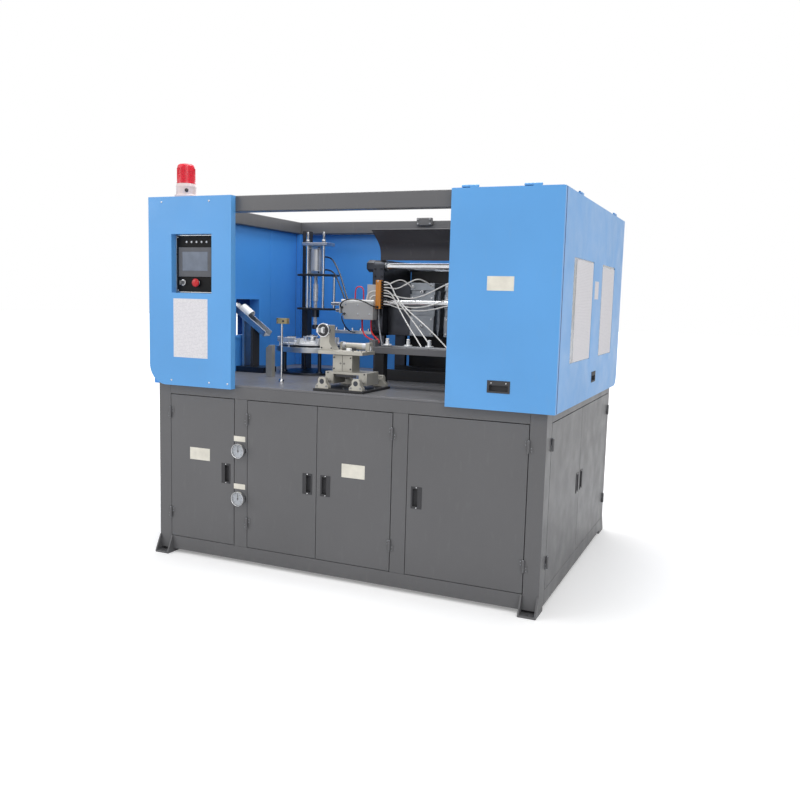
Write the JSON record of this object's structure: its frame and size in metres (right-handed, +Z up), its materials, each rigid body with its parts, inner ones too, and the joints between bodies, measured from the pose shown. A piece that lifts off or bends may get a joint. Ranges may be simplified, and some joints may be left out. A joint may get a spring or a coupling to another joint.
{
  "type": "blow moulding machine",
  "caption": "Blow moulding machine with a steel base cabinet, doors, an open work area with preform feed, press, transfer unit and mould clamp, an oven bay and lifting covers",
  "frame": {"origin": "bottom centre of the machine's box, on the floor", "axes": "+X to the right along the front, +Y back from the front, +Z up"},
  "size_m": [2.137, 1.642, 2.017],
  "materials": {
    "cabinet_paint": "satin dark grey paint",
    "blue_paint": "satin bright blue paint",
    "dark_machine_paint": "matt black paint",
    "grey_machine_paint": "light grey paint",
    "steel": "turned and ground steel",
    "hard_chrome": "hard chrome on round bars",
    "aluminium_plate": "milled aluminium",
    "black_plastic": "fine grained black plastic",
    "screen_plastic": "dark grey gloss plastic",
    "red_plastic": "glossy red plastic",
    "white_plastic": "white plastic",
    "red_lens": "clear red lens",
    "clear_panel": "clear window sheet",
    "manifold_paint": "orange anodised look",
    "tube_plastic": "flexible air tube",
    "needle_paint": "black lacquer",
    "reflector_metal": "bright reflector"
  },
  "bodies": {
    "machine": {"base_cabinet": "cabinet_paint", "table_top": "cabinet_paint", "feet": "cabinet_paint", "door_hinges": "cabinet_paint", "gauge_cases": "steel", "upper_frame": "cabinet_paint", "left_front_panel": "blue_paint", "wall_panels": "blue_paint", "cabin_shell": "blue_paint", "control_box": "black_plastic", "touch_screen": "screen_plastic", "beacon_base": "white_plastic", "beacon_lens": "red_lens", "feed_chute": "aluminium_plate", "star_table": "steel", "loading_tower": "dark_machine_paint", "loading_cylinder": "aluminium_plate", "clamp_frame": "dark_machine_paint", "tie_bars": "hard_chrome", "fixed_mould": "aluminium_plate", "clamp_cylinder": "grey_machine_paint", "clamp_hood": "dark_machine_paint", "air_manifold": "manifold_paint", "air_tubes": "tube_plastic", "blow_beam": "grey_machine_paint", "mandrel_rail": "steel", "transfer_base": "aluminium_plate", "oven": "steel", "sensor_posts": "grey_machine_paint"},
    "left_door_leaf": {"left_door": "cabinet_paint", "left_door_handle": "black_plastic"},
    "middle_left_door_leaf": {"middle_left_door": "cabinet_paint", "middle_left_door_handle": "black_plastic"},
    "middle_right_door_leaf": {"middle_right_door": "cabinet_paint", "middle_right_door_handle": "black_plastic"},
    "right_door_leaf": {"right_door": "cabinet_paint", "right_door_handle": "black_plastic"},
    "side_front_door_leaf": {"side_front_door": "cabinet_paint", "side_front_door_handle": "black_plastic"},
    "side_rear_door_leaf": {"side_rear_door": "cabinet_paint", "side_rear_door_handle": "black_plastic"},
    "front_cover_leaf": {"front_cover": "blue_paint", "front_cover_handle": "black_plastic"},
    "side_cover_leaf": {"side_cover": "blue_paint", "side_cover_handle": "black_plastic", "side_windows": "clear_panel"},
    "stop_push": {"stop_button": "red_plastic"},
    "key_turn": {"key_switch": "steel"},
    "upper_needle": {"upper_gauge_needle": "needle_paint"},
    "lower_needle": {"lower_gauge_needle": "needle_paint"},
    "reflector": {"beacon_reflector": "reflector_metal"},
    "star": {"star_wheel": "aluminium_plate"},
    "press_ram": {"loading_ram": "steel"},
    "moving_clamp": {"moving_platen": "dark_machine_paint", "moving_mould": "aluminium_plate", "clamp_rod": "hard_chrome"},
    "carrier": {"mandrel_carrier": "steel"},
    "carriage": {"transfer_carriage": "aluminium_plate"},
    "lift": {"lift_table": "aluminium_plate"},
    "flipper": {"turning_head": "steel"}
  },
  "joints": [
    {"name": "left_door_hinge", "type": "hinge", "parent": "machine", "child": "left_door_leaf", "pos_m": [-0.963, -0.785, 0.465], "axis": [0, 0, -1], "range_deg": [0, 110]},
    {"name": "middle_left_door_hinge", "type": "hinge", "parent": "machine", "child": "middle_left_door_leaf", "pos_m": [-0.489, -0.785, 0.465], "axis": [0, 0, -1], "range_deg": [0, 90]},
    {"name": "middle_right_door_hinge", "type": "hinge", "parent": "machine", "child": "middle_right_door_leaf", "pos_m": [0.306, -0.785, 0.465], "axis": [0, 0, 1], "range_deg": [0, 110]},
    {"name": "right_door_hinge", "type": "hinge", "parent": "machine", "child": "right_door_leaf", "pos_m": [0.951, -0.785, 0.465], "axis": [0, 0, 1], "range_deg": [0, 110]},
    {"name": "side_front_door_hinge", "type": "hinge", "parent": "machine", "child": "side_front_door_leaf", "pos_m": [1.0325, -0.6775, 0.465], "axis": [0, 0, -1], "range_deg": [0, 110]},
    {"name": "side_rear_door_hinge", "type": "hinge", "parent": "machine", "child": "side_rear_door_leaf", "pos_m": [1.0325, 0.7215, 0.465], "axis": [0, 0, 1], "range_deg": [0, 110]},
    {"name": "front_cover_hinge", "type": "hinge", "parent": "machine", "child": "front_cover_leaf", "pos_m": [0.819, -0.811, 1.856], "axis": [-1, 0, 0], "range_deg": [0, 85]},
    {"name": "side_cover_hinge", "type": "hinge", "parent": "machine", "child": "side_cover_leaf", "pos_m": [1.0615, -0.029, 1.856], "axis": [0, -1, 0], "range_deg": [0, 85]},
    {"name": "stop_button_push", "type": "slide", "parent": "machine", "child": "stop_push", "axis": [0, 1, 0], "range_m": [0, 0.004]},
    {"name": "key_turn_hinge", "type": "hinge", "parent": "machine", "child": "key_turn", "pos_m": [-0.8785, -0.785, 1.424], "axis": [0, 1, 0], "range_deg": [0, 90]},
    {"name": "upper_needle_hinge", "type": "hinge", "parent": "machine", "child": "upper_needle", "pos_m": [-0.5295, -0.801, 0.59], "axis": [0, 1, 0], "range_deg": [-135, 135]},
    {"name": "lower_needle_hinge", "type": "hinge", "parent": "machine", "child": "lower_needle", "pos_m": [-0.5295, -0.801, 0.345], "axis": [0, 1, 0], "range_deg": [-135, 135]},
    {"name": "reflector_spin", "type": "hinge", "parent": "machine", "child": "reflector", "pos_m": [-0.8885, -0.7415, 1.945], "axis": [0, 0, 1], "continuous": true},
    {"name": "star_wheel_spin", "type": "hinge", "parent": "machine", "child": "star", "pos_m": [-0.6085, 0.071, 1.095], "axis": [0, 0, 1], "continuous": true},
    {"name": "press_ram_slide", "type": "slide", "parent": "machine", "child": "press_ram", "axis": [0, 0, 1], "range_m": [-0.04, 0.045]},
    {"name": "clamp_slide", "type": "slide", "parent": "machine", "child": "moving_clamp", "axis": [1, 0, 0], "range_m": [-0.0598, 0.06]},
    {"name": "carrier_slide", "type": "slide", "parent": "machine", "child": "carrier", "axis": [1, 0, 0], "range_m": [0, 0.115]},
    {"name": "carriage_slide", "type": "slide", "parent": "machine", "child": "carriage", "axis": [0, 1, 0], "range_m": [-0.04, 0.045]},
    {"name": "lift_slide", "type": "slide", "parent": "carriage", "child": "lift", "axis": [0, 0, 1], "range_m": [0, 0.05]},
    {"name": "flip_hinge", "type": "hinge", "parent": "lift", "child": "flipper", "pos_m": [-0.1175, -0.687, 1.21], "axis": [0, 1, 0], "range_deg": [0, 180]}
  ]
}
